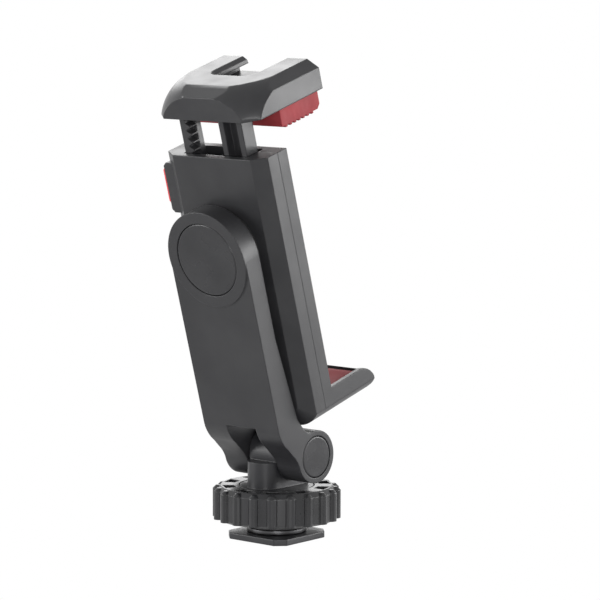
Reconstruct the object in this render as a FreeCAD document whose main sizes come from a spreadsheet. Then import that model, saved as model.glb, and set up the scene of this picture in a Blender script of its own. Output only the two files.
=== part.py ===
import FreeCAD, Part
import math
import os
import re
import Sketcher

# Tripod phone mount adapter, in millimetres.
# World frame: origin at the middle of the shoe foot's underside, +Z up,
# X along the tilt hinge, the device side of the mount towards +Y.
# Arm frame: origin on the tilt hinge's axis, x along the hinge, y square to the
# clamp's face (towards the device), z up the arm. The whole arm leans back in it.

SIZES = {
    # how far a cutting shape runs past the solid that it cuts
    "spare": 1.0,
    # shoe foot and its hollow stud
    "foot_width": 18.5,
    "foot_thickness": 1.6,
    "foot_corner": 2.25,
    "stud_radius": 4.76,
    "tripod_radius": 2.6,
    "tripod_depth": 7.5,
    "spigot_radius": 3.2,
    "spigot_length": 5.0,
    # lock wheel, its brass insert and the washer under it
    "washer_radius": 7.2,
    "washer_thickness": 1.1,
    "seat_gap": 0.15,
    "thrust_gap": 0.1,
    "thread_gap": 0.06,
    "insert_radius": 6.2,
    "insert_height": 6.2,
    "hub_radius": 7.2,
    "hub_drop": 1.75,
    "wheel_radius": 15.5,
    "wheel_height": 8.2,
    "wheel_rim_chamfer": 1.1,
    "well_radius": 9.2,
    "well_depth": 2.6,
    "wheel_travel": 1.25,
    "rib_count": 20,
    "rib_width": 2.7,
    "rib_end": 0.8,
    "rib_depth": 0.95,
    "window_count": 10,
    "window_depth": 3.4,
    "window_inner": 10.2,
    "window_outer": 13.0,
    "window_width": 4.4,
    "window_taper": 0.8,
    # hinge post
    "flange_radius": 8.9,
    "flange_thickness": 1.0,
    "tongue_thickness": 8.3,
    "tongue_back": 8.5,
    "knuckle_radius": 6.1,
    "ledge_height": 6.45,
    "hinge_forward": 0.8,
    "hinge_rise": 7.99,
    "move_gap": 0.3,
    # swing arm
    "tilt_angle": 16.1,
    "arm_width": 23.6,
    "arm_back": 11.2,
    "arm_front": 6.2,
    "arm_taper_top": 33.0,
    "arm_foot_front": 4.0,
    "arm_foot_height": 11.3,
    "heel_start": 10.8,
    "heel_radius": 9.5,
    "heel_end_back": 9.1,
    "heel_end_height": 5.6,
    "neck_back": 7.8,
    "neck_height": 3.4,
    "neck_radius": 8.0,
    "ear_front_drop": 0.2,
    "crotch_back": 1.5,
    "crotch_rise": 0.5,
    "shin_back": 2.6,
    "shin_rise": 2.0,
    "ear_meet_back": 6.3,
    "ear_meet_drop": 1.0,
    "ear_radius": 6.4,
    "notch_width": 9.2,
    "notch_height": 11.2,
    "pivot_height": 53.8,
    "disc_proud": 0.35,
    # tilt hinge hardware
    "hinge_bolt_radius": 2.0,
    "running_gap": 0.06,
    "hinge_head_radius": 3.5,
    "hinge_head_height": 2.4,
    "hinge_nut_flats": 7.0,
    "hinge_nut_height": 3.2,
    "ear_cap_radius": 5.05,
    "ear_cap_thickness": 1.0,
    "cap_gap": 0.06,
    "cap_edge": 0.3,
    # swivel hardware
    "pivot_cap_radius": 8.97,
    "pivot_cap_thickness": 1.0,
    "pivot_cavity_radius": 6.0,
    "pivot_cavity_depth": 2.6,
    "pivot_washer_radius": 5.4,
    "pivot_washer_thickness": 0.5,
    "pivot_screw_radius": 2.0,
    "pivot_head_radius": 4.2,
    "pivot_head_height": 1.6,
    "pivot_nut_flats": 7.0,
    "pivot_nut_height": 3.0,
    "arm_boss_radius": 10.0,
    "arm_boss_height": 1.4,
    "friction_radius": 9.5,
    # clamp shells
    "body_width": 31.0,
    "body_back": 3.5,
    "body_seam": 2.4,
    "body_front": 5.8,
    "body_bottom": 8.6,
    "body_top": 76.3,
    "corner_across": 5.4,
    "corner_rise": 3.3,
    "corner_radius": 8.0,
    "bevel_width": 3.4,
    "bevel_rise": 2.6,
    "bevel_depth": 2.35,
    "shell_wall": 1.6,
    "floor_height": 31.5,
    "boss_radius": 4.7,
    "boss_rise": 1.3,
    "nut_proud": 1.0,
    "hollow_bottom": 12.2,
    "front_wall": 1.3,
    "pad_recess": 0.6,
    # fixed lower jaw
    "jaw_reach": 21.6,
    "jaw_floor": 16.1,
    "jaw_front_under": 9.4,
    "jaw_nose": 1.0,
    "jaw_nose_drop": 3.4,
    "jaw_nose_top": 4.3,
    "jaw_nose_curve": 5.7,
    "jaw_side_wall": 1.2,
    "lower_pad_depth": 2.5,
    "lower_pad_sunk": 0.5,
    "lower_pad_slope": 3.0,
    "lower_pad_slope_drop": 1.6,
    "pad_margin": 0.4,
    "pad_gap": 0.1,
    # back pad
    "back_pad_bottom": 18.0,
    "back_pad_top": 75.3,
    "back_pad_width": 27.6,
    "back_pad_proud": 0.6,
    # shell screws
    "screw_radius": 1.1,
    "screw_head_radius": 2.0,
    "screw_head_height": 1.0,
    "screw_across": 23.8,
    "screw_top": 73.2,
    "screw_bottom": 21.0,
    # sliding upper jaw
    "rail_back": 1.5,
    "rail_step": 0.8,
    "rail_front": 2.5,
    "rail_width": 19.2,
    "rail_wall": 1.6,
    "rail_bottom": 41.0,
    "rack_rail": 2.9,
    "guide_rail": 4.2,
    "guide_rib_reach": 7.1,
    "guide_rib_wall": 1.5,
    "guide_rib_bottom": 68.0,
    "rack_pitch": 1.94,
    "rack_tooth": 1.3,
    "tooth_crest_low": 0.35,
    "tooth_crest_high": 0.55,
    "tooth_end": 0.9,
    "rack_bottom": 45.0,
    "rack_count": 20,
    "crossbar_height": 2.6,
    "jaw_opening": 64.6,
    # head
    "head_bottom": 85.4,
    "head_top": 92.8,
    "head_width": 31.0,
    "head_back": 3.84,
    "head_front": 22.0,
    "head_corner_side": 2.9,
    "head_corner_back": 3.3,
    "head_slope_side": 2.5,
    "head_slope_side_drop": 2.25,
    "head_slope_back": 4.1,
    "head_slope_back_drop": 1.8,
    "head_slope_front": 0.7,
    "head_slope_front_drop": 2.3,
    "dome_centre": 12.0,
    "dome_top_radius": 13.35,
    "dome_low_radius": 20.2,
    "dome_curve": 11.4,
    # accessory shoe in the head
    "shoe_gap": 12.2,
    "shoe_width": 18.7,
    "shoe_lip": 1.9,
    "shoe_lip_slope": 0.9,
    "shoe_depth": 3.9,
    "shoe_back": 7.4,
    "shoe_corner": 3.0,
    # upper pad
    "upper_pad_back": 7.4,
    "upper_pad_front": 21.7,
    "upper_pad_width": 28.0,
    "pad_chamfer": 1.0,
    # release button and pawl
    "button_bottom": 62.3,
    "button_top": 72.6,
    "button_proud": 3.1,
    "button_back": 1.1,
    "button_front": 3.0,
    "collar_proud": 1.4,
    "collar_wall": 0.8,
    "collar_slope": 0.8,
    "button_travel": 1.5,
    "button_tuck": 0.1,
    "button_slope": 1.2,
    "shank_drop": 0.9,
    "shank_bottom": 64.0,
    "shank_top": 69.6,
    "bridge_back": 2.85,
    "bridge_front": 3.75,
    "pawl_width": 3.2,
    "pawl_back": 1.2,
    "seat_rib_place": 1.2,
    "seat_rib_wall": 0.8,
    "spring_radius": 1.5,
    "spring_wire": 0.35,
    "spring_turns": 4,
    "spring_runs": 10,
}

doc = FreeCAD.newDocument("tripod_phone_mount")
sheet = doc.addObject("Spreadsheet::Sheet", "sizes")
for row, (name, number) in enumerate(SIZES.items(), start=1):
    sheet.set("A%d" % row, name)
    sheet.set("B%d" % row, str(number))
    sheet.setAlias("B%d" % row, name)
doc.recompute()

PLANES = {
    "XY": (FreeCAD.Rotation(), FreeCAD.Vector(0, 0, 1), "XY_Plane"),
    "XZ": (FreeCAD.Rotation(FreeCAD.Vector(1, 0, 0), 90), FreeCAD.Vector(0, 1, 0), "XZ_Plane"),
    "YZ": (FreeCAD.Rotation(FreeCAD.Vector(1, 1, 1), 120), FreeCAD.Vector(1, 0, 0), "YZ_Plane"),
}
AXIS_TURN = {
    "x": FreeCAD.Rotation(FreeCAD.Vector(0, 1, 0), 90),
    "y": FreeCAD.Rotation(FreeCAD.Vector(1, 0, 0), -90),
    "z": FreeCAD.Rotation(),
}


def formula(text):
    """A size formula with each size's name pointing at its cell."""
    def cell(match):
        word = match.group()
        return "sizes." + word if word in SIZES else word
    return re.sub(r"[a-z_]+", cell, str(text))


def value(text):
    """The formula's present value."""
    return float(sheet.evalExpression(formula(text)))


def bind(thing, prop, text):
    thing.setExpression(prop, formula(text))


# Solids from primitives and booleans

def place(thing, base):
    for axis, text in zip("xyz", base):
        bind(thing, "Placement.Base." + axis, text)


def box(name, x, y, z):
    """A block between two formulas along each axis."""
    block = doc.addObject("Part::Box", name)
    bind(block, "Length", "(%s) - (%s)" % (x[1], x[0]))
    bind(block, "Width", "(%s) - (%s)" % (y[1], y[0]))
    bind(block, "Height", "(%s) - (%s)" % (z[1], z[0]))
    place(block, (x[0], y[0], z[0]))
    return block


def rod(name, axis, radius, centre, low, high):
    """A cylinder along one axis; centre gives the other two places in X, Y, Z order."""
    drum = doc.addObject("Part::Cylinder", name)
    drum.Placement = FreeCAD.Placement(FreeCAD.Vector(), AXIS_TURN[axis])
    bind(drum, "Radius", radius)
    bind(drum, "Height", "(%s) - (%s)" % (high, low))
    base = list(centre)
    base.insert("xyz".index(axis), low)
    place(drum, base)
    return drum


def hexagon(name, axis, flats, centre, low, high):
    """A hexagonal prism, by its width across flats."""
    prism = doc.addObject("Part::Prism", name)
    prism.Polygon = 6
    prism.Placement = FreeCAD.Placement(FreeCAD.Vector(), AXIS_TURN[axis])
    bind(prism, "Circumradius", "(%s) / sqrt(3)" % flats)
    bind(prism, "Height", "(%s) - (%s)" % (high, low))
    base = list(centre)
    base.insert("xyz".index(axis), low)
    place(prism, base)
    return prism


def fuse(name, parts):
    joined = doc.addObject("Part::MultiFuse", name)
    joined.Shapes = parts
    joined.Refine = True
    return joined


def common(name, first, second):
    both = doc.addObject("Part::Common", name)
    both.Base = first
    both.Tool = second
    both.Refine = True
    return both


def cut(name, base, tools):
    tool = tools[0] if len(tools) == 1 else fuse(name + "_tools", tools)
    result = doc.addObject("Part::Cut", name)
    result.Base = base
    result.Tool = tool
    result.Refine = True
    return result


# Sketches: corners are (x, y) formulas, or (x, y, radius) where an arc leaves the corner.
# A positive radius bulges to the right of the way round, a negative one to the left,
# and "half" stands for half a circle, bulging to the right.

def draw(sketch, corners):
    spots = [FreeCAD.Vector(value(c[0]), value(c[1]), 0) for c in corners]
    ends = []
    for index, corner in enumerate(corners):
        start = spots[index]
        finish = spots[(index + 1) % len(spots)]
        if len(corner) == 3:
            chord = finish - start
            radius = chord.Length / 2 if corner[2] == "half" else value(corner[2])
            right = FreeCAD.Vector(chord.y, -chord.x, 0).normalize() * math.copysign(1, radius)
            reach = abs(radius) - math.sqrt(max(radius ** 2 - chord.Length ** 2 / 4, 0))
            middle = (start + finish) * 0.5 + right * reach
            first, last = (finish, start) if radius < 0 else (start, finish)
            sketch.addGeometry(Part.Arc(first, middle, last), False)
        else:
            sketch.addGeometry(Part.LineSegment(start, finish), False)
        swapped = sketch.Geometry[index].StartPoint.distanceToPoint(start) > 1e-6
        ends.append((2, 1) if swapped else (1, 2))
    for index, corner in enumerate(corners):
        after = (index + 1) % len(corners)
        sketch.addConstraint(Sketcher.Constraint(
            "Coincident", index, ends[index][1], after, ends[after][0]))
        measure(sketch, "DistanceX", corner[0], -1, 1, index, ends[index][0])
        measure(sketch, "DistanceY", corner[1], -1, 1, index, ends[index][0])
        if len(corner) == 3 and corner[2] == "half":
            level = abs(spots[after].y - spots[index].y) < 1e-6
            kind, text = ("DistanceY", corner[1]) if level else ("DistanceX", corner[0])
            measure(sketch, kind, text, -1, 1, index, 3)
        elif len(corner) == 3:
            measure(sketch, "Radius", "abs(%s)" % corner[2], index)


def measure(sketch, kind, text, *where):
    """One dimension of a sketch, bound to its formula."""
    slot = sketch.addConstraint(Sketcher.Constraint(kind, *where, value(text)))
    sketch.setExpression("Constraints[%d]" % slot, formula(text))


def profile(name, plane, corners, offset="0"):
    """A free sketch on a plane through the origin, moved along the plane's axis."""
    sketch = doc.addObject("Sketcher::SketchObject", name)
    turn, axis, _ = PLANES[plane]
    sketch.Placement = FreeCAD.Placement(FreeCAD.Vector(), turn)
    place(sketch, [offset if part else "0" for part in axis])
    draw(sketch, corners)
    return sketch


def prism(name, plane, corners, low, high):
    """A sketch drawn out between two places along the plane's axis."""
    solid = doc.addObject("Part::Extrusion", name)
    solid.Base = profile(name + "_sketch", plane, corners)
    solid.DirMode = "Custom"
    solid.Dir = PLANES[plane][1]
    solid.Solid = True
    bind(solid, "LengthFwd", high)
    bind(solid, "LengthRev", "-(%s)" % low)
    return solid


def rectangle(x, y):
    return [(x[0], y[0]), (x[1], y[0]), (x[1], y[1]), (x[0], y[1])]


# Bodies made of sketched features

def start_body(name):
    return doc.addObject("PartDesign::Body", name)


def origin_part(body, role):
    return next(item for item in body.Origin.OriginFeatures if item.Role == role)


def body_sketch(body, name, plane, corners=None, offset="0", lift="0"):
    sketch = body.newObject("Sketcher::SketchObject", name)
    sketch.AttachmentSupport = [(origin_part(body, PLANES[plane][2]), "")]
    sketch.MapMode = "FlatFace"
    bind(sketch, "AttachmentOffset.Base.z", offset)
    bind(sketch, "AttachmentOffset.Base.y", lift)
    if corners:
        draw(sketch, corners)
    return sketch


def circle(sketch, radius, x="0", y="0"):
    ring = sketch.addGeometry(Part.Circle(
        FreeCAD.Vector(value(x), value(y), 0), FreeCAD.Vector(0, 0, 1), value(radius)), False)
    measure(sketch, "DistanceX", x, -1, 1, ring, 3)
    measure(sketch, "DistanceY", y, -1, 1, ring, 3)
    measure(sketch, "Radius", radius, ring)


def pad(body, name, sketch, length, backwards=False):
    feature = body.newObject("PartDesign::Pad", name)
    feature.Profile = sketch
    bind(feature, "Length", length)
    feature.Reversed = backwards
    sketch.Visibility = False
    return feature


def pocket(body, name, sketch, depth, backwards=False):
    feature = body.newObject("PartDesign::Pocket", name)
    feature.Profile = sketch
    bind(feature, "Length", depth)
    feature.Reversed = backwards
    return feature


def turned(name, corners, plane="XZ", axis="V_Axis", offset="0", lift="0"):
    """A body turned from half its section, about one of the sketch's own axes."""
    body = start_body(name)
    section = body_sketch(body, name + "_section", plane, corners, offset, lift)
    feature = body.newObject("PartDesign::Revolution", name + "_turn")
    feature.Profile = section
    feature.ReferenceAxis = (section, [axis])
    feature.Angle = 360
    return body


def turned_on_swivel(name, corners):
    """A body turned about the swivel's axis: corners are (y, distance from that axis)."""
    return turned(name, corners, plane="YZ", axis="H_Axis", lift="pivot_height")


def ring_of(body, name, feature, count):
    """A feature repeated round the body's Z axis."""
    pattern = body.newObject("PartDesign::PolarPattern", name)
    pattern.Originals = [feature]
    pattern.Axis = (origin_part(body, "Z_Axis"), [""])
    pattern.Angle = 360
    bind(pattern, "Occurrences", count)
    body.Tip = pattern
    return pattern


PARTS = {}


def keep(node, thing):
    thing.Label = node
    PARTS[node] = thing
    return thing


def lean(thing):
    """Stands a piece that is drawn in the arm frame on the tilt hinge, leaning back."""
    thing.Placement = FreeCAD.Placement(FreeCAD.Vector(), FreeCAD.Rotation(FreeCAD.Vector(1, 0, 0), 1))
    bind(thing, "Placement.Base.y", "hinge_forward")
    bind(thing, "Placement.Base.z", HINGE_Z)
    bind(thing, "Placement.Rotation.Angle", "tilt_angle")
    return thing


# Heights in the world frame, from the floor up
WASHER_LOW = "(foot_thickness + seat_gap)"
WASHER_HIGH = "(%s + washer_thickness)" % WASHER_LOW
HUB_LOW = "(%s + thrust_gap)" % WASHER_HIGH
WHEEL_LOW = "(%s + hub_drop)" % HUB_LOW
WHEEL_HIGH = "(%s + wheel_height)" % WHEEL_LOW
WELL_FLOOR = "(%s - well_depth)" % WHEEL_HIGH
FLANGE_LOW = "(%s + wheel_travel + move_gap)" % WELL_FLOOR
FLANGE_HIGH = "(%s + flange_thickness)" % FLANGE_LOW
HINGE_Z = "(%s + hinge_rise)" % FLANGE_HIGH


# Shoe foot: square plate with cut corners, its hollow stud and the spigot under the post
foot = start_body("foot")
half_foot = "foot_width / 2"
inner_foot = "(foot_width / 2 - foot_corner)"
pad(foot, "foot_plate", body_sketch(foot, "foot_outline", "XY", [
    ("-" + inner_foot, "-" + half_foot), (inner_foot, "-" + half_foot),
    (half_foot, "-" + inner_foot), (half_foot, inner_foot),
    (inner_foot, half_foot), ("-" + inner_foot, half_foot),
    ("-" + half_foot, inner_foot), ("-" + half_foot, "-" + inner_foot)]), "foot_thickness")
stud_circle = body_sketch(foot, "stud_circle", "XY")
circle(stud_circle, "stud_radius")
pad(foot, "stud", stud_circle, FLANGE_LOW)
spigot_circle = body_sketch(foot, "spigot_circle", "XY")
circle(spigot_circle, "spigot_radius")
pad(foot, "spigot", spigot_circle, FLANGE_LOW + " + spigot_length")
tripod_circle = body_sketch(foot, "tripod_circle", "XY")
circle(tripod_circle, "tripod_radius")
pocket(foot, "tripod_hole", tripod_circle, "tripod_depth", backwards=True)
keep("shoe_foot", foot)

# Clamp washer that the wheel presses on the shoe's rails
stud_bore = "(stud_radius + thread_gap)"
keep("clamp_washer", turned("washer", rectangle(
    (stud_bore, "washer_radius"), (WASHER_LOW, WASHER_HIGH))))

# Brass insert: the thread that climbs the stud
keep("wheel_insert", turned("insert", rectangle(
    (stud_bore, "insert_radius"), (HUB_LOW, HUB_LOW + " + insert_height"))))

# Lock wheel: hub, rim with a sunk well, grip ribs with round ends and windows round the top
rim = "(wheel_radius - rib_depth)"
wheel = turned("wheel", [
    ("insert_radius", HUB_LOW),
    ("hub_radius", HUB_LOW),
    ("hub_radius", WHEEL_LOW),
    (rim + " - wheel_rim_chamfer / 2", WHEEL_LOW),
    (rim, WHEEL_LOW + " + wheel_rim_chamfer / 2"),
    (rim, WHEEL_HIGH + " - wheel_rim_chamfer"),
    (rim + " - wheel_rim_chamfer", WHEEL_HIGH),
    ("well_radius", WHEEL_HIGH),
    ("well_radius", WELL_FLOOR),
    (stud_bore + " + move_gap", WELL_FLOOR),
    (stud_bore + " + move_gap", HUB_LOW + " + insert_height"),
    ("insert_radius", HUB_LOW + " + insert_height")])
window = body_sketch(wheel, "window_outline", "XY", [
    ("-window_width / 2", "window_outer"),
    ("-window_width / 2 + window_taper", "window_inner"),
    ("window_width / 2 - window_taper", "window_inner"),
    ("window_width / 2", "window_outer")], offset=WHEEL_HIGH)
ring_of(wheel, "windows", pocket(wheel, "window", window, "window_depth"), "window_count")
rib_low = WHEEL_LOW + " + wheel_rim_chamfer / 4"
rib_high = WHEEL_HIGH + " - wheel_rim_chamfer / 4"
rib_axis = "(wheel_radius - rib_width / 2)"


def rib_plan(round_radius):
    """A rib seen from above: a round front in six straight runs and a root in the rim."""
    corners = [
        ("%s * sin(%d)" % (round_radius, angle), "%s + %s * cos(%d)" % (rib_axis, round_radius, angle))
        for angle in range(90, -91, -30)]
    root = rim + " - wheel_rim_chamfer"
    return corners + [("-" + round_radius, root), (round_radius, root)]


half_rib = "(rib_width / 2)"
rib = pad(wheel, "rib", body_sketch(wheel, "rib_outline", "XY", rib_plan(half_rib), offset=rib_low),
          "%s - rib_end - (%s)" % (rib_high, rib_low))
rib_tip = wheel.newObject("PartDesign::AdditiveLoft", "rib_tip")
rib_tip.Profile = body_sketch(wheel, "rib_tip_low", "XY", rib_plan(half_rib), offset=rib_high + " - rib_end")
rib_tip.Sections = [body_sketch(
    wheel, "rib_tip_high", "XY", rib_plan("(rib_width / 2 - rib_end)"), offset=rib_high)]
rib_tip.Ruled = True
ribs = ring_of(wheel, "ribs", rib, "rib_count")
ribs.Originals = [rib, rib_tip]
keep("lock_wheel", wheel)

# Hinge post: flange, column with a half-round back, and the knuckle round the bolt
half_tongue = "(tongue_thickness / 2)"
ledge = "(%s + ledge_height)" % FLANGE_HIGH
post_front = "(hinge_forward + knuckle_radius)"
round_y = "(%s - tongue_back)" % half_tongue
column = prism("column", "XY", [
    ("-" + half_tongue, round_y, "half"), (half_tongue, round_y),
    (half_tongue, post_front), ("-" + half_tongue, post_front)], FLANGE_LOW, ledge)
cheek = box("cheek", ("-" + half_tongue, half_tongue), ("hinge_forward", post_front), (FLANGE_LOW, HINGE_Z))
knuckle = rod("knuckle", "x", "knuckle_radius", ("hinge_forward", HINGE_Z), "-" + half_tongue, half_tongue)
flange = rod("flange", "z", "flange_radius", ("0", "0"), FLANGE_LOW, FLANGE_HIGH)
post_holes = [
    rod("hinge_bore", "x", "hinge_bolt_radius + running_gap", ("hinge_forward", HINGE_Z),
        "-tongue_thickness", "tongue_thickness"),
    rod("spigot_bore", "z", "spigot_radius", ("0", "0"), FLANGE_LOW, FLANGE_LOW + " + spigot_length")]
keep("hinge_post", cut("post", fuse("post_solid", [column, cheek, knuckle, flange]), post_holes))

# Swing arm: bent plate with a round head, forked at its foot round the post
half_arm = "(arm_width / 2)"
arm_side = prism("arm_side", "YZ", [
    ("-arm_back", "pivot_height + arm_width"),
    ("-arm_back", "heel_start", "heel_radius"),
    ("-heel_end_back", "heel_end_height"),
    ("-neck_back", "neck_height", "-neck_radius"),
    ("-ear_meet_back", "-ear_meet_drop"),
    ("0", "0"),
    ("0", "ear_radius - ear_front_drop"),
    ("-crotch_back", "ear_radius + crotch_rise"),
    ("-shin_back", "ear_radius + shin_rise"),
    ("-arm_foot_front", "arm_foot_height"),
    ("-arm_front", "arm_taper_top"),
    ("-arm_front", "pivot_height + arm_width")], "-" + half_arm, half_arm)
arm_outline = prism("arm_outline", "XZ", [
    ("-" + half_arm, "-ear_radius - spare"),
    (half_arm, "-ear_radius - spare"),
    (half_arm, "pivot_height", "half"),
    ("-" + half_arm, "pivot_height")], "-arm_back - spare", "ear_radius + spare")
arm_plate = common("arm_plate", arm_side, arm_outline)
ears = rod("ears", "x", "ear_radius", ("0", "0"), "-" + half_arm, half_arm)
proud_disc = rod("proud_disc", "y", half_arm, ("0", "pivot_height"), "-arm_back - disc_proud", "-arm_back")
arm_boss = rod("arm_boss", "y", "arm_boss_radius", ("0", "pivot_height"),
               "-arm_front", "-arm_front + arm_boss_height")
half_notch = "(notch_width / 2)"
disc_back = "(arm_back + disc_proud)"
cap_floor = "(%s - pivot_cap_thickness)" % disc_back
cavity_floor = "(%s - pivot_cavity_depth)" % cap_floor
ear_cap_seat = "(%s - ear_cap_thickness)" % half_arm
arm_holes = [
    box("notch", ("-" + half_notch, half_notch), ("-arm_back - spare", "ear_radius + spare"),
        ("-ear_radius - spare", "notch_height")),
    rod("cap_recess", "y", "pivot_cap_radius + cap_gap", ("0", "pivot_height"),
        "-%s - spare" % disc_back, "-" + cap_floor),
    rod("head_cavity", "y", "pivot_cavity_radius", ("0", "pivot_height"),
        "-%s - spare" % cap_floor, "-" + cavity_floor),
    rod("pivot_bore", "y", "pivot_screw_radius + running_gap", ("0", "pivot_height"),
        "-%s - spare" % cavity_floor, "0"),
    rod("ear_bore", "x", "hinge_bolt_radius", ("0", "0"), "-arm_width", "arm_width"),
    rod("left_cap_recess", "x", "ear_cap_radius + cap_gap", ("0", "0"), "-arm_width", "-" + ear_cap_seat),
    rod("right_cap_recess", "x", "ear_cap_radius + cap_gap", ("0", "0"), ear_cap_seat, "arm_width"),
    rod("bolt_head_pocket", "x", "hinge_head_radius", ("0", "0"),
        "-arm_width", "-%s + hinge_head_height" % ear_cap_seat),
    hexagon("hinge_nut_pocket", "x", "hinge_nut_flats", ("0", "0"),
            ear_cap_seat + " - hinge_nut_height", "arm_width")]
keep("swing_arm", lean(cut("arm", fuse("arm_solid", [arm_plate, ears, proud_disc, arm_boss]), arm_holes)))

# Tilt hinge: bolt from the left ear to a nut in the right one, under a flush cap on each side
bolt_head_seat = "(hinge_head_height - %s)" % ear_cap_seat
keep("hinge_bolt", lean(turned("bolt", [
    ("-" + ear_cap_seat, "0"), (ear_cap_seat, "0"),
    (ear_cap_seat, "hinge_bolt_radius"), (bolt_head_seat, "hinge_bolt_radius"),
    (bolt_head_seat, "hinge_head_radius"), ("-" + ear_cap_seat, "hinge_head_radius")],
    axis="H_Axis")))
keep("hinge_nut", lean(cut("hinge_nut_body", hexagon(
    "hinge_nut_hex", "x", "hinge_nut_flats", ("0", "0"), ear_cap_seat + " - hinge_nut_height", ear_cap_seat),
    [rod("hinge_nut_bore", "x", "hinge_bolt_radius", ("0", "0"), "0", "arm_width")])))
for side, sign in (("left", "-1"), ("right", "1")):
    keep("hinge_cap_" + side, lean(turned("cap_" + side, [
        (sign + " * " + ear_cap_seat, "0"),
        (sign + " * " + ear_cap_seat, "ear_cap_radius"),
        (sign + " * (%s - cap_edge)" % half_arm, "ear_cap_radius"),
        (sign + " * " + half_arm, "ear_cap_radius - cap_edge"),
        (sign + " * " + half_arm, "0")], axis="H_Axis")))

# Swivel: cap, screw, washer and nut on the arm's upper axis, and a friction ring
pivot = ("0", "pivot_height")
keep("pivot_cap", lean(turned_on_swivel("pivot_cover", [
    ("-" + cap_floor, "0"), ("-" + cap_floor, "pivot_cap_radius"),
    ("cap_edge - " + disc_back, "pivot_cap_radius"),
    ("-" + disc_back, "pivot_cap_radius - cap_edge"), ("-" + disc_back, "0")])))
washer_back = "(%s + pivot_washer_thickness)" % cavity_floor
keep("pivot_washer", lean(turned_on_swivel("pivot_washer_ring", rectangle(
    ("-" + washer_back, "-" + cavity_floor), ("pivot_screw_radius + running_gap", "pivot_washer_radius")))))
head_seat = "(%s + thrust_gap)" % washer_back
nut_high = "(body_seam + nut_proud)"
nut_low = "(%s - pivot_nut_height)" % nut_high
keep("pivot_screw", lean(turned_on_swivel("pivot_bolt", [
    ("-%s - pivot_head_height" % head_seat, "0"),
    ("-%s - pivot_head_height" % head_seat, "pivot_head_radius - cap_edge"),
    ("-%s - pivot_head_height + cap_edge" % head_seat, "pivot_head_radius"),
    ("-" + head_seat, "pivot_head_radius"), ("-" + head_seat, "pivot_screw_radius"),
    (nut_high, "pivot_screw_radius"), (nut_high, "0")])))
keep("pivot_nut", lean(cut("pivot_nut_body", hexagon(
    "pivot_nut_hex", "y", "pivot_nut_flats", pivot, nut_low, nut_high),
    [rod("pivot_nut_bore", "y", "pivot_screw_radius", pivot, "0", "body_front")])))
boss_face = "(arm_front - arm_boss_height)"
keep("friction_ring", lean(turned_on_swivel("friction_disc", rectangle(
    ("thrust_gap - " + boss_face, "-body_back"), ("pivot_screw_radius", "friction_radius")))))

# Clamp shells share one outline, seen from the back
half_body = "(body_width / 2)"


def body_outline(inset, rise):
    """The clamp's outline, drawn in by an inset at the sides and raised at the bottom."""
    side = "(%s - %s)" % (half_body, inset)
    low = "(body_bottom + %s)" % rise
    foot_x = "(%s - corner_across)" % side
    return [
        ("-" + foot_x, low), (foot_x, low, "corner_radius"),
        (side, low + " + corner_rise"), (side, "body_top"),
        ("-" + side, "body_top"), ("-" + side, low + " + corner_rise", "corner_radius")]


button_inner = "(button_tuck - %s)" % half_body
button_floor = "(%s + button_travel + move_gap)" % button_inner
rear_plate = prism("rear_plate", "XZ", body_outline("0", "0"), "-body_back + bevel_depth", "body_seam")
rear_bevel = doc.addObject("Part::Loft", "rear_bevel")
rear_bevel.Sections = [
    profile("bevel_outer", "XZ", body_outline("0", "0"), offset="-body_back + bevel_depth"),
    profile("bevel_inner", "XZ", body_outline("bevel_width", "bevel_rise"), offset="-body_back")]
rear_bevel.Solid = True
rear_bevel.Ruled = True
collar_back = "(button_back + move_gap + collar_wall)"
collar_front = "(button_front + move_gap + collar_wall)"
collar_low = "(button_bottom - move_gap - collar_wall)"
collar_high = "(button_top + move_gap + collar_wall)"


def collar(name, back, front):
    """The raised frame round the release button, on the left wall."""
    outer = "-(%s + collar_proud)" % half_body
    slope_x = "-(%s + collar_proud - collar_slope)" % half_body
    inner = "-(%s - bevel_width / 2)" % half_body
    return prism(name, "XZ", [
        (inner, collar_low), (inner, collar_high), (slope_x, collar_high),
        (outer, collar_high + " - collar_slope"), (outer, collar_low + " + collar_slope"),
        (slope_x, collar_low)], back, front)


rail_room = "(rail_width / 2 + move_gap)"
screw_x = "(screw_across / 2)"
shell_holes = [
    box("rail_channel", ("-" + rail_room, rail_room), ("-rail_back - move_gap", "body_seam + spare"),
        ("floor_height", "body_top + spare")),
    box("lower_hollow", ("-" + rail_room, rail_room), ("-rail_back - move_gap", "body_seam + spare"),
        ("hollow_bottom", "floor_height - shell_wall")),
    box("shank_window_rear", ("-body_width", "-rail_width / 2"),
        ("body_seam - shank_drop - move_gap", "body_seam + spare"),
        ("shank_bottom - move_gap", "shank_top + move_gap")),
    box("button_pocket_rear", ("-body_width", button_floor), ("-button_back - move_gap", "body_seam + spare"),
        ("button_bottom - move_gap", "button_top + move_gap"))]
shell_boss = rod("shell_boss", "y", "boss_radius", pivot, "-body_back", "body_seam + boss_rise")
shell_bores = [
    rod("pivot_hole", "y", "pivot_screw_radius", pivot, "-body_back - spare", "body_front"),
    hexagon("pivot_nut_pocket", "y", "pivot_nut_flats", pivot, nut_low, "body_front")]
for side, x in (("left", "-" + screw_x), ("right", screw_x)):
    for level in ("top", "bottom"):
        shell_bores.append(rod("rear_screw_hole_%s_%s" % (side, level), "y", "screw_radius",
                               (x, "screw_" + level), "-body_back + shell_wall", "body_front"))
rear_hollowed = cut("rear_hollowed", fuse("rear_solid", [
    rear_plate, rear_bevel, collar("rear_collar", "-%s" % collar_back, "body_seam")]), shell_holes)
keep("rear_shell", lean(cut("rear", fuse("rear_with_boss", [rear_hollowed, shell_boss]), shell_bores)))

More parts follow.
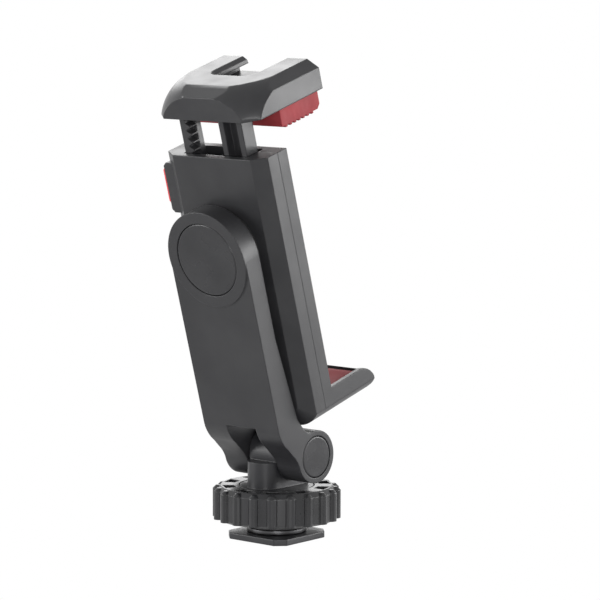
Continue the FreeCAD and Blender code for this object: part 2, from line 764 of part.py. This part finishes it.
# Front shell: plate with a shallow room for the slide, and the fixed lower jaw
front_plate = prism("front_plate", "XZ", body_outline("0", "0"), "body_seam", "body_front")
jaw_side = prism("jaw_side", "YZ", [
    ("body_seam", "body_bottom"), ("body_front", "body_bottom"), ("jaw_reach - jaw_nose", "jaw_front_under"),
    ("jaw_reach", "jaw_front_under + jaw_nose"),
    ("jaw_reach", "jaw_floor - jaw_nose_drop", "jaw_nose_curve"), ("jaw_reach - jaw_nose_top", "jaw_floor"),
    ("body_seam", "jaw_floor")],
    "-" + half_body, half_body)
jaw_front = prism("jaw_front", "XZ", body_outline("0", "0"), "0", "jaw_reach + spare")
lower_jaw = common("lower_jaw", jaw_side, jaw_front)
pad_half = "(body_width / 2 - jaw_side_wall)"
lower_pad_back = "(body_front + pad_margin)"
lower_pad_front = "(jaw_reach - jaw_side_wall)"
room_front = "(body_front - pad_recess - front_wall)"
front_holes = [
    box("slide_room", ("-" + rail_room, rail_room), ("body_seam - spare", room_front),
        ("floor_height", "body_top + spare")),
    box("shank_window_front", ("-body_width", "-rail_width / 2"), ("body_seam - spare", room_front),
        ("shank_bottom - move_gap", "shank_top + move_gap")),
    box("button_pocket_front", ("-body_width", button_floor),
        ("body_seam - spare", "button_front + move_gap"),
        ("button_bottom - move_gap", "button_top + move_gap")),
    box("back_pad_recess", ("-back_pad_width / 2", "back_pad_width / 2"),
        ("body_front - pad_recess", "body_front + spare"), ("back_pad_bottom", "back_pad_top")),
    box("lower_pad_recess", ("-" + pad_half, pad_half), (lower_pad_back, lower_pad_front),
        ("jaw_floor - lower_pad_depth", "jaw_floor + spare"))]
for side, x in (("left", "-" + screw_x), ("right", screw_x)):
    for level in ("top", "bottom"):
        spot = (x, "screw_" + level)
        front_holes.append(rod("front_screw_hole_%s_%s" % (side, level), "y", "screw_radius",
                               spot, "0", "body_front"))
        front_holes.append(rod("front_head_hole_%s_%s" % (side, level), "y", "screw_head_radius",
                               spot, "body_front - pad_recess - screw_head_height", "body_front"))
seat_rib = box("seat_rib", ("seat_rib_place", "seat_rib_place + seat_rib_wall"),
               ("-pawl_back", room_front), ("shank_bottom", "shank_top"))
front_hollowed = cut("front_hollowed", fuse("front_solid", [
    front_plate, lower_jaw, collar("front_collar", "body_seam", collar_front)]), front_holes)
boss_dimple = rod("boss_dimple", "y", "boss_radius", pivot, "0", "body_seam + boss_rise")
keep("front_shell", lean(cut("front", fuse("front_with_rib", [front_hollowed, seat_rib]), [boss_dimple])))

# Rubber pads of the fixed side
lower_pad_top = "(jaw_floor - lower_pad_sunk)"
keep("lower_pad", lean(prism("lower_pad_block", "YZ", [
    (lower_pad_back + " + pad_gap", "jaw_floor - lower_pad_depth"),
    (lower_pad_front + " - pad_gap", "jaw_floor - lower_pad_depth"),
    (lower_pad_front + " - pad_gap", lower_pad_top + " - lower_pad_slope_drop"),
    (lower_pad_front + " - pad_gap - lower_pad_slope", lower_pad_top),
    (lower_pad_back + " + pad_gap", lower_pad_top)],
    "pad_gap - " + pad_half, pad_half + " - pad_gap")))
keep("back_pad", lean(prism("back_pad_block", "XZ", rectangle(
    ("pad_gap - back_pad_width / 2", "back_pad_width / 2 - pad_gap"),
    ("back_pad_bottom + pad_gap", "back_pad_top - pad_gap")),
    "body_front - pad_recess", "body_front + back_pad_proud")))

# Four screws from the front, hidden under the back pad
head_high = "(body_front - pad_recess)"
screws = []
for side, x in (("left", "-" + screw_x), ("right", screw_x)):
    for level in ("top", "bottom"):
        spot = (x, "screw_" + level)
        screws.append(rod("screw_shank_%s_%s" % (side, level), "y", "screw_radius", spot,
                          "-body_back + shell_wall", head_high))
        screws.append(rod("screw_head_%s_%s" % (side, level), "y", "screw_head_radius", spot,
                          head_high + " - screw_head_height", head_high))
keep("shell_screws", lean(fuse("screw_group", screws)))

# Slide: a rack rail on the left and a guide rail on the right, joined by a bar in the head
slide = start_body("slide")
half_rail = "(rail_width / 2)"


def slide_block(name, x, y, z):
    """One block of the slide, drawn in plan and padded up."""
    sketch = body_sketch(slide, name + "_plan", "XY", rectangle(x, y), offset=z[0])
    return pad(slide, name, sketch, "(%s) - (%s)" % (z[1], z[0]))


slide_block("crossbar", ("-" + half_rail, half_rail), ("-rail_back", "rail_front"),
            ("head_bottom", "head_bottom + crossbar_height"))
slide_block("rack_web", ("-" + half_rail, "rack_rail - " + half_rail), ("rail_step", "rail_front"),
            ("rail_bottom", "head_bottom"))
slide_block("rack_wall", ("-" + half_rail, "rail_wall - " + half_rail), ("-rail_back", "rail_step"),
            ("rail_bottom", "head_bottom"))
slide_block("guide_web", (half_rail + " - guide_rail", half_rail), ("rail_step", "rail_front"),
            ("rail_bottom", "head_bottom"))
slide_block("guide_wall", (half_rail + " - rail_wall", half_rail), ("-rail_back", "rail_step"),
            ("rail_bottom", "head_bottom"))
slide_block("guide_plate", (half_rail + " - guide_rib_reach", half_rail), ("rail_step", "rail_front"),
            ("guide_rib_bottom", "head_bottom"))
slide_block("guide_rib",
            (half_rail + " - guide_rib_reach", half_rail + " - guide_rib_reach + guide_rib_wall"),
            ("-rail_back", "rail_step"), ("guide_rib_bottom", "head_bottom"))
tooth_root = "(rail_wall - %s)" % half_rail
tooth_sketch = body_sketch(slide, "tooth_outline", "XZ", [
    (tooth_root, "rack_bottom"),
    (tooth_root + " + rack_tooth", "rack_bottom + rack_pitch * tooth_crest_low"),
    (tooth_root + " + rack_tooth", "rack_bottom + rack_pitch * tooth_crest_high"),
    (tooth_root, "rack_bottom + rack_pitch * tooth_end")], offset="-rail_step")
tooth = pad(slide, "tooth", tooth_sketch, "rail_back + rail_step")
rack = slide.newObject("PartDesign::LinearPattern", "rack")
rack.Originals = [tooth]
rack.Direction = (origin_part(slide, "Z_Axis"), [""])
bind(rack, "Occurrences", "rack_count")
bind(rack, "Length", "rack_pitch * (rack_count - 1)")
slide.Tip = rack
keep("jaw_slide", lean(slide))

# Head: chamfered block under a dome, with sloped edges and an accessory shoe on top
half_head = "(head_width / 2)"
head_block = prism("head_block", "XY", [
    ("-%s + head_corner_back" % half_head, "-head_back"),
    (half_head + " - head_corner_back", "-head_back"),
    (half_head, "-head_back + head_corner_side"), (half_head, "head_front"),
    ("-" + half_head, "head_front"), ("-" + half_head, "-head_back + head_corner_side")],
    "head_bottom", "head_top")
dome = turned("dome", [
    ("0", "head_bottom"), ("dome_low_radius", "head_bottom", "dome_curve"), ("dome_top_radius", "head_top"),
    ("0", "head_top")], offset="-dome_centre")
front_keep = box("front_keep", ("-head_width", "head_width"), ("dome_centre", "head_front + spare"),
                 ("head_bottom - spare", "head_top + spare"))
head_shape = common("head_shape", head_block, fuse("dome_or_front", [dome, front_keep]))
side_slopes = [
    prism("slope_" + side, "XZ", [
        (sign + "(%s - head_slope_side)" % half_head, "head_top"),
        (sign + half_head, "head_top - head_slope_side_drop"),
        (sign + "(%s + spare)" % half_head, "head_top - head_slope_side_drop"),
        (sign + "(%s + spare)" % half_head, "head_top + spare"),
        (sign + "(%s - head_slope_side)" % half_head, "head_top + spare")],
        "-head_back - spare", "head_front + spare")
    for side, sign in (("left", "-"), ("right", "1 * "))]
back_slope = prism("slope_back", "YZ", [
    ("head_slope_back - head_back", "head_top"), ("head_slope_back - head_back", "head_top + spare"),
    ("-head_back - spare", "head_top + spare"), ("-head_back - spare", "head_top - head_slope_back_drop"),
    ("-head_back", "head_top - head_slope_back_drop")], "-" + half_head + " - spare", half_head + " + spare")
front_slope = prism("slope_front", "YZ", [
    ("head_front - head_slope_front", "head_top"), ("head_front", "head_top - head_slope_front_drop"),
    ("head_front + spare", "head_top - head_slope_front_drop"), ("head_front + spare", "head_top + spare"),
    ("head_front - head_slope_front", "head_top + spare")],
    "-" + half_head + " - spare", half_head + " + spare")


def shoe_outline(spread):
    """The shoe's opening between the lips, widened by a spread at the sides and the back."""
    side = "(shoe_gap / 2 + %s)" % spread
    back = "(shoe_back - %s)" % spread
    turn_x = "(%s - shoe_corner)" % side
    turn_y = "(%s + shoe_corner)" % back
    return [
        ("-" + side, turn_y, "shoe_corner"), ("-" + turn_x, back), (turn_x, back, "shoe_corner"),
        (side, turn_y), (side, "head_front + spare"), ("-" + side, "head_front + spare")]


shoe_opening = prism("shoe_opening", "XY", shoe_outline("0"), "head_top - shoe_depth", "head_top")
lip_slope = doc.addObject("Part::Loft", "lip_slope")
lip_slope.Sections = [
    profile("lip_slope_low", "XY", shoe_outline("0"), offset="head_top - shoe_lip_slope"),
    profile("lip_slope_high", "XY", shoe_outline("shoe_lip_slope + spare"), offset="head_top + spare")]
lip_slope.Solid = True
lip_slope.Ruled = True
shoe_channel = box("shoe_channel", ("-shoe_width / 2", "shoe_width / 2"), ("shoe_back", "head_front + spare"),
                   ("head_top - shoe_depth", "head_top - shoe_lip"))
crossbar_pocket = box("crossbar_pocket", ("-" + half_rail, half_rail), ("-rail_back", "rail_front"),
                      ("head_bottom - spare", "head_bottom + crossbar_height"))
keep("jaw_head", lean(cut("head", head_shape, side_slopes + [
    back_slope, front_slope, shoe_opening, lip_slope, shoe_channel, crossbar_pocket])))

# Upper pad: hangs under the head, over the lower one
pad_low = "(%s + jaw_opening)" % lower_pad_top
keep("upper_pad", lean(prism("upper_pad_block", "YZ", [
    ("upper_pad_back", pad_low), ("upper_pad_front - pad_chamfer", pad_low),
    ("upper_pad_front", pad_low + " + pad_chamfer"),
    ("upper_pad_front", "head_bottom"), ("upper_pad_back", "head_bottom")],
    "-upper_pad_width / 2", "upper_pad_width / 2")))

# Release button in the left wall, and the pawl that it carries across in front of the rack rail
button_face = "(%s + button_proud)" % half_body
pawl_left = "(rack_tooth + rail_wall + move_gap - %s)" % half_rail
pawl_right = "(%s + pawl_width)" % pawl_left
button_cap = prism("button_cap", "XZ", [
    (button_inner, "button_bottom"), (button_inner, "button_top"),
    ("button_slope - " + button_face, "button_top"), ("-" + button_face, "button_top - button_slope"),
    ("-" + button_face, "button_bottom + button_slope"), ("button_slope - " + button_face, "button_bottom")],
    "-button_back", "button_front")
button_shank = box("button_shank", (button_inner, "-%s - button_travel" % half_rail),
                   ("body_seam - shank_drop", "bridge_front"), ("shank_bottom", "shank_top"))
keep("release_button", lean(fuse("button", [button_cap, button_shank])))
pawl_bridge = box("pawl_bridge", ("-%s - button_travel" % half_rail, pawl_right),
                  ("bridge_back", "bridge_front"), ("shank_bottom", "shank_top"))
pawl_block = box("pawl_block", (pawl_left, pawl_right), ("-pawl_back", "bridge_front"),
                 ("shank_bottom", "shank_top"))
keep("lock_pawl", lean(fuse("pawl", [pawl_bridge, pawl_block])))

# Coil spring that pushes the pawl out, between the pawl and the rib in the front shell.
# Its wire is bent in short straight runs, so that the coil has few faces.
coil_radius = value("spring_radius - spring_wire / 2")
coil_start = value(pawl_right + " + spring_wire / 2")
coil_length = value("seat_rib_place - spring_wire / 2") - coil_start
coil_y = value("(rail_front - pawl_back) / 2")
coil_z = value("(shank_bottom + shank_top) / 2")
run_count = int(value("spring_turns * spring_runs"))
nodes = []
for run in range(run_count + 1):
    angle = 2 * math.pi * run / value("spring_runs")
    nodes.append(FreeCAD.Vector(
        coil_start + coil_length * run / run_count,
        coil_y + coil_radius * math.cos(angle),
        coil_z + coil_radius * math.sin(angle)))
spring_path = doc.addObject("Part::Polygon", "spring_path")
spring_path.Nodes = nodes
wire_section = doc.addObject("Part::RegularPolygon", "spring_wire_section")
wire_section.Polygon = 6
bind(wire_section, "Circumradius", "spring_wire / 2")
wire_section.Placement = FreeCAD.Placement(
    nodes[0], FreeCAD.Rotation(FreeCAD.Vector(0, 0, 1), nodes[1] - nodes[0]))
spring = doc.addObject("Part::Sweep", "spring")
spring.Sections = [wire_section]
spring.Spine = (spring_path, [])
spring.Solid = True
spring.Frenet = False
spring.Transition = "Right corner"
lean(spring)
keep("button_spring", spring)

doc.recompute()
for thing in doc.Objects:
    if "Invalid" in thing.State or "Error" in thing.State:
        raise RuntimeError("%s: %s" % (thing.Name, thing.State))
for node, thing in PARTS.items():
    if thing.Shape.isNull() or not thing.Shape.isValid():
        raise RuntimeError("%s has no valid shape" % node)
os.makedirs("parts", exist_ok=True)
for node, thing in PARTS.items():
    thing.Shape.exportStep("parts/%s.step" % node)
    print(node, len(thing.Shape.Solids), round(thing.Shape.Volume, 2))
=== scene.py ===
import bpy
import math
from mathutils import Matrix, Vector


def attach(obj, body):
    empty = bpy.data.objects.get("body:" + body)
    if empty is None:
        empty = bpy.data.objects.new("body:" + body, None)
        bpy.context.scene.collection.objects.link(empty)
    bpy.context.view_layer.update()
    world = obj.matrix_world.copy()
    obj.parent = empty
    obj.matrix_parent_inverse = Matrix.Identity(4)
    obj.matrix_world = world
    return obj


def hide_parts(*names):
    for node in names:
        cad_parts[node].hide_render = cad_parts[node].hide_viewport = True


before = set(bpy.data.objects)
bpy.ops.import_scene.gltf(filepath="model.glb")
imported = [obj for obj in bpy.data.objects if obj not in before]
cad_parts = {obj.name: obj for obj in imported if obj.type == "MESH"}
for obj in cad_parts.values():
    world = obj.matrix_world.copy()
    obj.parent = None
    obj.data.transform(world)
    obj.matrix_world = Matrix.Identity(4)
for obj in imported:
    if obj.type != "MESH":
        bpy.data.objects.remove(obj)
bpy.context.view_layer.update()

bpy.ops.object.select_all(action="DESELECT")
print("frame loaded:", len(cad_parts), "nodes")

mm = 0.001
lean = math.radians(16.1)  # how far the clamp leans back at rest
hinge = Vector((0.0, 0.8 * mm, 20.84 * mm))
# the arm's own frame: along the hinge, square to the clamp, up the arm
armFrame = Matrix.Translation(hinge) @ Matrix.Rotation(lean, 4, "X")


# camera at the photograph's angle

cameraSet = {
    "place": (0.4856, -0.5667, 0.1495),
    "target": (0.00723, 0.0, 0.05826),
    "roll": 0.14,
    "lens": 188.4,
    "sensor": 36,
    "nearest": 0.01,
}


def addCamera(settings):
    bpy.ops.object.camera_add(location=settings["place"])
    camera = bpy.context.object
    look = Vector(settings["target"]) - Vector(settings["place"])
    turn = look.to_track_quat("-Z", "Y").to_matrix().to_4x4()
    camera.matrix_world = (Matrix.Translation(settings["place"]) @ turn
                           @ Matrix.Rotation(math.radians(settings["roll"]), 4, "Z"))
    camera.data.lens = settings["lens"]
    camera.data.sensor_width = settings["sensor"]
    camera.data.clip_start = settings["nearest"]
    bpy.context.scene.camera = camera


addCamera(cameraSet)


# studio: pale floor, white surroundings, soft lamps

studioSet = {
    "floorSize": 4.0,
    "floorTone": (0.82, 0.82, 0.82, 1.0),
    "worldTone": (1.0, 1.0, 1.0, 1.0),
    "worldLevel": 0.4,
    "seenLevel": 1.0,
    "lampAim": (0, 0, 0.06),
    "lamps": {
        "backLeft": {"place": (-0.70, 0.63, 0.60), "size": 0.8, "power": 5.0},
        "right": {"place": (0.75, 0.80, 0.10), "size": 0.8, "power": 18.0},
        "frontLeft": {"place": (-0.72, -0.82, 0.28), "size": 0.6, "power": 8.0},
        "front": {"place": (0.78, -0.80, 0.16), "size": 0.28, "power": 5.0},
    },
}


def rayMask(tree):
    # 1 for rays from the camera, in reflections and through glass
    path = tree.nodes.new("ShaderNodeLightPath")
    first = tree.nodes.new("ShaderNodeMath")
    first.operation = "MAXIMUM"
    second = tree.nodes.new("ShaderNodeMath")
    second.operation = "MAXIMUM"
    tree.links.new(path.outputs["Is Camera Ray"], first.inputs[0])
    tree.links.new(path.outputs["Is Glossy Ray"], first.inputs[1])
    tree.links.new(first.outputs[0], second.inputs[0])
    tree.links.new(path.outputs["Is Transmission Ray"], second.inputs[1])
    return second.outputs[0]


def addWorld(settings):
    world = bpy.data.worlds.new("studioWorld")
    world.use_nodes = True
    tree = world.node_tree
    tree.nodes.clear()
    output = tree.nodes.new("ShaderNodeOutputWorld")
    mixed = tree.nodes.new("ShaderNodeMixShader")
    light = tree.nodes.new("ShaderNodeBackground")
    seen = tree.nodes.new("ShaderNodeBackground")
    light.inputs["Color"].default_value = settings["worldTone"]
    light.inputs["Strength"].default_value = settings["worldLevel"]
    seen.inputs["Color"].default_value = settings["worldTone"]
    seen.inputs["Strength"].default_value = settings["seenLevel"]
    tree.links.new(rayMask(tree), mixed.inputs[0])
    tree.links.new(light.outputs[0], mixed.inputs[1])
    tree.links.new(seen.outputs[0], mixed.inputs[2])
    tree.links.new(mixed.outputs[0], output.inputs["Surface"])
    bpy.context.scene.world = world


def addFloor(settings):
    bpy.ops.mesh.primitive_plane_add(size=settings["floorSize"], location=(0, 0, 0))
    floor = bpy.context.object
    floor.name = "studioFloor"
    material = bpy.data.materials.new("paleFloor")
    material.use_nodes = True
    tree = material.node_tree
    tree.nodes.clear()
    output = tree.nodes.new("ShaderNodeOutputMaterial")
    mixed = tree.nodes.new("ShaderNodeMixShader")
    paper = tree.nodes.new("ShaderNodeBsdfDiffuse")
    glow = tree.nodes.new("ShaderNodeEmission")
    paper.inputs["Color"].default_value = settings["floorTone"]
    glow.inputs["Color"].default_value = settings["worldTone"]
    glow.inputs["Strength"].default_value = settings["seenLevel"]
    tree.links.new(rayMask(tree), mixed.inputs[0])
    tree.links.new(paper.outputs[0], mixed.inputs[1])
    tree.links.new(glow.outputs[0], mixed.inputs[2])
    tree.links.new(mixed.outputs[0], output.inputs["Surface"])
    floor.data.materials.append(material)


def addLamps(settings):
    for name, lamp in settings["lamps"].items():
        bpy.ops.object.light_add(type="AREA", location=lamp["place"])
        light = bpy.context.object
        light.name = name
        light.data.shape = "DISK"
        light.data.size = lamp["size"]
        light.data.energy = lamp["power"]
        aim = Vector(settings["lampAim"]) - Vector(lamp["place"])
        light.rotation_euler = aim.to_track_quat("-Z", "Y").to_euler()


addWorld(studioSet)
addFloor(studioSet)
addLamps(studioSet)
print("studio ready")


# finishes

plasticSet = {
    "tone": (0.022, 0.022, 0.024), "toneFar": (0.03, 0.03, 0.032), "patch": 90.0,
    "rough": (0.34, 0.44), "roughPatch": 160.0,
    "grain": 5200.0, "grainDepth": 0.00001, "grainForce": 0.22,
    "toneEnds": (0.35, 0.65), "roughEnds": (0.3, 0.7), "details": (4.0, 3.0, 2.0),
    "ior": 1.5, "specular": 0.3, "metal": 0.0, "sheen": 0.0, "round": 0.0004, "roundSamples": 6,
}


def finish(name, base, **changes):
    # one procedural finish: two tones in soft patches, uneven gloss, and a fine grain in the surface
    look = dict(base, **changes)
    material = bpy.data.materials.new(name)
    material.use_nodes = True
    tree = material.node_tree
    shader = tree.nodes["Principled BSDF"]
    where = tree.nodes.new("ShaderNodeTexCoord").outputs["Object"]
    patches = tree.nodes.new("ShaderNodeTexNoise")
    patches.inputs["Scale"].default_value = look["patch"]
    patches.inputs["Detail"].default_value = look["details"][0]
    tree.links.new(where, patches.inputs["Vector"])
    tones = tree.nodes.new("ShaderNodeValToRGB")
    tones.color_ramp.elements[0].position = look["toneEnds"][0]
    tones.color_ramp.elements[0].color = look["tone"] + (1.0,)
    tones.color_ramp.elements[1].position = look["toneEnds"][1]
    tones.color_ramp.elements[1].color = look["toneFar"] + (1.0,)
    tree.links.new(patches.outputs["Fac"], tones.inputs["Fac"])
    tree.links.new(tones.outputs["Color"], shader.inputs["Base Color"])
    smears = tree.nodes.new("ShaderNodeTexNoise")
    smears.inputs["Scale"].default_value = look["roughPatch"]
    smears.inputs["Detail"].default_value = look["details"][1]
    tree.links.new(where, smears.inputs["Vector"])
    gloss = tree.nodes.new("ShaderNodeMapRange")
    gloss.inputs["From Min"].default_value = look["roughEnds"][0]
    gloss.inputs["From Max"].default_value = look["roughEnds"][1]
    gloss.inputs["To Min"].default_value = look["rough"][0]
    gloss.inputs["To Max"].default_value = look["rough"][1]
    tree.links.new(smears.outputs["Fac"], gloss.inputs["Value"])
    tree.links.new(gloss.outputs["Result"], shader.inputs["Roughness"])
    grain = tree.nodes.new("ShaderNodeTexNoise")
    grain.inputs["Scale"].default_value = look["grain"]
    grain.inputs["Detail"].default_value = look["details"][2]
    tree.links.new(where, grain.inputs["Vector"])
    bump = tree.nodes.new("ShaderNodeBump")
    bump.inputs["Strength"].default_value = look["grainForce"]
    bump.inputs["Distance"].default_value = look["grainDepth"]
    tree.links.new(grain.outputs["Fac"], bump.inputs["Height"])
    rounded = tree.nodes.new("ShaderNodeBevel")
    rounded.samples = look["roundSamples"]
    rounded.inputs["Radius"].default_value = look["round"]
    tree.links.new(rounded.outputs["Normal"], bump.inputs["Normal"])
    tree.links.new(bump.outputs["Normal"], shader.inputs["Normal"])
    shader.inputs["IOR"].default_value = look["ior"]
    shader.inputs["Specular IOR Level"].default_value = look["specular"]
    shader.inputs["Metallic"].default_value = look["metal"]
    shader.inputs["Sheen Weight"].default_value = look["sheen"]
    return material


finishes = {
    "shell": finish("satinBlackMoulding", plasticSet),
    "head": finish("satinBlackHead", plasticSet, rough=(0.3, 0.38)),
    "arm": finish("satinBlackArm", plasticSet, rough=(0.33, 0.42), patch=70.0),
    "wheel": finish("satinBlackWheel", plasticSet, tone=(0.014, 0.014, 0.015), toneFar=(0.02, 0.02, 0.022),
                    rough=(0.24, 0.34), specular=0.4, round=0.0003),
    "slide": finish("satinBlackSlide", plasticSet, rough=(0.28, 0.36)),
    "cap": finish("smoothBlackCap", plasticSet, rough=(0.24, 0.32), grainForce=0.12),
    "coated": finish("coatedAluminium", plasticSet, tone=(0.02, 0.02, 0.022), toneFar=(0.027, 0.027, 0.03),
                     rough=(0.32, 0.42), grain=7600.0, grainForce=0.3),
    "steel": finish("brightSteel", plasticSet, tone=(0.56, 0.56, 0.58), toneFar=(0.66, 0.66, 0.68),
                    rough=(0.18, 0.3), metal=1.0, grain=2400.0, grainForce=0.08),
    "blackSteel": finish("blackenedSteel", plasticSet, tone=(0.05, 0.05, 0.052), toneFar=(0.08, 0.08, 0.083),
                         rough=(0.3, 0.42), metal=1.0),
    "brass": finish("turnedBrass", plasticSet, tone=(0.72, 0.5, 0.2), toneFar=(0.84, 0.63, 0.3),
                    rough=(0.2, 0.32), metal=1.0),
    "redRubber": finish("redRubber", plasticSet, tone=(0.22, 0.025, 0.03), toneFar=(0.28, 0.036, 0.042),
                        rough=(0.6, 0.72), grain=3800.0, grainForce=0.35, specular=0.25, round=0.0002),
    "redPlastic": finish("redMoulding", plasticSet, tone=(0.62, 0.05, 0.06), toneFar=(0.72, 0.07, 0.08),
                         rough=(0.36, 0.46)),
    "blackRubber": finish("blackRubber", plasticSet, tone=(0.018, 0.018, 0.018),
                          toneFar=(0.026, 0.026, 0.026),
                          rough=(0.58, 0.72), grain=3600.0, grainForce=0.4, sheen=0.05),
}
print("finishes ready:", len(finishes))


# CAD nodes: finish and softened edges

nodeSet = {
    "shoe_foot": ("coated", 0.2), "hinge_post": ("coated", 0.3), "clamp_washer": ("blackSteel", 0.15),
    "lock_wheel": ("wheel", 0.22), "wheel_insert": ("brass", 0.1), "swing_arm": ("arm", 0.35),
    "hinge_bolt": ("steel", 0.1), "hinge_nut": ("steel", 0.1), "hinge_cap_left": ("cap", 0.12),
    "hinge_cap_right": ("cap", 0.12), "pivot_cap": ("cap", 0.12), "pivot_washer": ("steel", 0.08),
    "rear_shell": ("shell", 0.3), "front_shell": ("shell", 0.3), "shell_screws": ("blackSteel", 0.1),
    "pivot_screw": ("blackSteel", 0.1), "pivot_nut": ("steel", 0.1), "friction_ring": ("blackRubber", 0.1),
    "button_spring": ("steel", 0.0), "jaw_slide": ("slide", 0.2), "jaw_head": ("head", 0.45),
    "release_button": ("redPlastic", 0.35), "lock_pawl": ("redPlastic", 0.15),
}


edgeSet = {
    "join": 0.000002,  # corners nearer than this are one
    "flat": math.radians(1.5),  # faces flatter than this are one
    "sharp": math.radians(28),  # edges sharper than this are rounded
    "segments": 3,
    "weight": 50,
    "padSharp": math.radians(25),
    "padSmooth": math.radians(35),
    "facing": 0.9,  # a face looks along a side where their product is above this
}


def roundEdges(piece, width, angle):
    bevel = piece.modifiers.new("softEdge", "BEVEL")
    bevel.width = width * mm
    bevel.segments = edgeSet["segments"]
    bevel.limit_method = "ANGLE"
    bevel.angle_limit = angle


def dressNode(name, finishName, edge):
    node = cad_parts[name]
    node.data.materials.clear()
    node.data.materials.append(finishes[finishName])
    bpy.context.view_layer.objects.active = node
    node.select_set(True)
    bpy.ops.mesh.customdata_custom_splitnormals_clear()
    bpy.ops.object.shade_smooth()
    node.select_set(False)
    weld = node.modifiers.new("joined", "WELD")
    weld.merge_threshold = edgeSet["join"]
    flat = node.modifiers.new("wholeFaces", "DECIMATE")
    flat.decimate_type = "DISSOLVE"
    flat.angle_limit = edgeSet["flat"]
    if edge:
        roundEdges(node, edge, edgeSet["sharp"])
    shade = node.modifiers.new("evenShade", "WEIGHTED_NORMAL")
    shade.mode = "FACE_AREA"
    shade.weight = edgeSet["weight"]
    shade.keep_sharp = True


for nodeName, (finishName, edge) in nodeSet.items():
    dressNode(nodeName, finishName, edge)
print("nodes dressed:", len(nodeSet))


# rubber pads, drawn in the arm frame in millimetres: a block with ridges standing on one side

padSet = {
    "lowerPad": {"low": (-14.2, 6.3, 13.6), "high": (14.2, 20.3, 15.2), "side": (0, 0, 1), "along": 1,
                 "first": 7.4, "last": 17.0, "pitch": 1.6, "ridge": 0.8, "rise": 0.4,
                 "slope": ((0, 17.3, 15.25), (0, 1.25, 3.0)), "soft": 0.12},
    "upperPad": {"low": (-14.0, 7.4, 80.7), "high": (14.0, 21.7, 85.4), "side": (0, 0, -1), "along": 1,
                 "first": 8.6, "last": 20.4, "pitch": 1.6, "ridge": 0.8, "rise": 0.45,
                 "slope": ((0, 20.7, 80.7), (0, 1.0, -1.0)), "soft": 0.15},
    "backPad": {"low": (-13.7, 5.2, 18.1), "high": (13.7, 6.0, 75.2), "side": (0, 1, 0), "along": 2,
                "first": 20.0, "last": 73.4, "pitch": 2.4, "ridge": 1.2, "rise": 0.35,
                "slope": None, "soft": 0.12},
}


def startBlock(name, low, high):
    centre = [(a + b) / 2 for a, b in zip(low, high)]
    bpy.ops.mesh.primitive_cube_add(size=1, location=centre)
    block = bpy.context.object
    block.name = name
    block.scale = [b - a for a, b in zip(low, high)]
    bpy.ops.object.transform_apply(location=True, rotation=False, scale=True)
    return block


def pickFaces(piece, wanted):
    # selects the faces that the test wants and ends in edit mode
    bpy.ops.object.mode_set(mode="OBJECT")
    for part in (piece.data.vertices, piece.data.edges, piece.data.polygons):
        part.foreach_set("select", [False] * len(part))
    for face in piece.data.polygons:
        face.select = wanted(face)
    bpy.ops.object.mode_set(mode="EDIT")
    bpy.ops.mesh.select_mode(type="FACE")


def placeInArmFrame(piece):
    bpy.ops.object.mode_set(mode="OBJECT")
    bpy.ops.object.select_all(action="DESELECT")
    piece.select_set(True)
    bpy.context.view_layer.objects.active = piece
    piece.matrix_world = armFrame @ Matrix.Scale(mm, 4)
    bpy.ops.object.transform_apply(location=True, rotation=True, scale=True)
    piece.select_set(False)


def addPad(name, look, finishName, body, node):
    pad = startBlock(name, look["low"], look["high"])
    bpy.ops.object.mode_set(mode="EDIT")
    bpy.ops.mesh.select_all(action="SELECT")
    axis = look["along"]
    side = Vector(look["side"])
    spots = []
    start = look["first"]
    while start + look["ridge"] <= look["last"]:
        spots.append((start, start + look["ridge"]))
        start += look["pitch"]
    direction = [0.0, 0.0, 0.0]
    direction[axis] = 1.0
    for pair in spots:
        for cutAt in pair:
            point = [0.0, 0.0, 0.0]
            point[axis] = cutAt
            bpy.ops.mesh.select_all(action="SELECT")
            bpy.ops.mesh.bisect(plane_co=point, plane_no=direction)
    if look["slope"]:
        bpy.ops.mesh.select_all(action="SELECT")
        where, square = look["slope"]
        bpy.ops.mesh.bisect(plane_co=where, plane_no=square, use_fill=True, clear_outer=True)

    def onRidge(face):
        middle = face.center[axis]
        return face.normal.dot(side) > edgeSet["facing"] and any(a < middle < b for a, b in spots)

    pickFaces(pad, onRidge)
    bpy.ops.mesh.extrude_region_move(TRANSFORM_OT_translate={"value": side * look["rise"]})
    bpy.ops.object.mode_set(mode="OBJECT")
    placeInArmFrame(pad)
    pad.data.materials.append(finishes[finishName])
    bpy.context.view_layer.objects.active = pad
    pad.select_set(True)
    roundEdges(pad, look["soft"], edgeSet["padSharp"])
    bpy.ops.object.modifier_apply(modifier="softEdge")
    bpy.ops.object.shade_smooth_by_angle(angle=edgeSet["padSmooth"])
    pad.select_set(False)
    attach(pad, body)
    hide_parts(node)


addPad("lowerPad", padSet["lowerPad"], "redRubber", "clamp", "lower_pad")
addPad("upperPad", padSet["upperPad"], "redRubber", "jaw", "upper_pad")
addPad("backPad", padSet["backPad"], "blackRubber", "clamp", "back_pad")
print("pads ready")


bpy.context.scene.view_settings.view_transform = "Standard"
